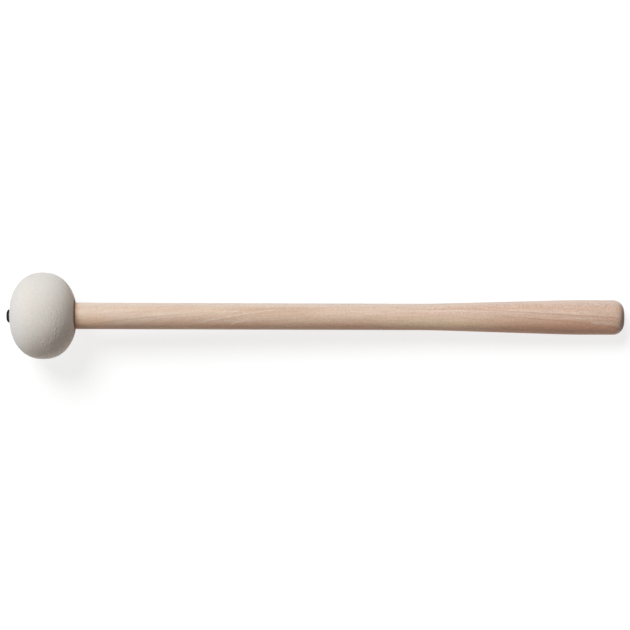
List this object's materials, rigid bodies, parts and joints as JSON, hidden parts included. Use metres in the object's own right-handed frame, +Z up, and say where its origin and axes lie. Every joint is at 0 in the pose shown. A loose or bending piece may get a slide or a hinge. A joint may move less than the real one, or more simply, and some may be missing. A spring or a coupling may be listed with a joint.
{
  "type": "bass drum mallet",
  "caption": "Marching bass drum mallet: hard round felt head held by a screw on a turned maple handle that tapers up to a thicker, round-ended grip.",
  "frame": {"origin": "on the table that the mallet lies on, under the middle of its bounding box", "axes": "+Z up, +X from the head towards the butt. The mallet lies on the side of its head and the edge of its butt, so its own axis dips 2.6 degrees towards the butt."},
  "size_m": [0.3748, 0.0524, 0.0522],
  "materials": {
    "maple": "satin",
    "felt": "matte",
    "black_steel": "satin"
  },
  "bodies": {
    "root": {"handle": "maple", "felt_head": "felt", "head_screw": "black_steel"}
  },
  "joints": []
}
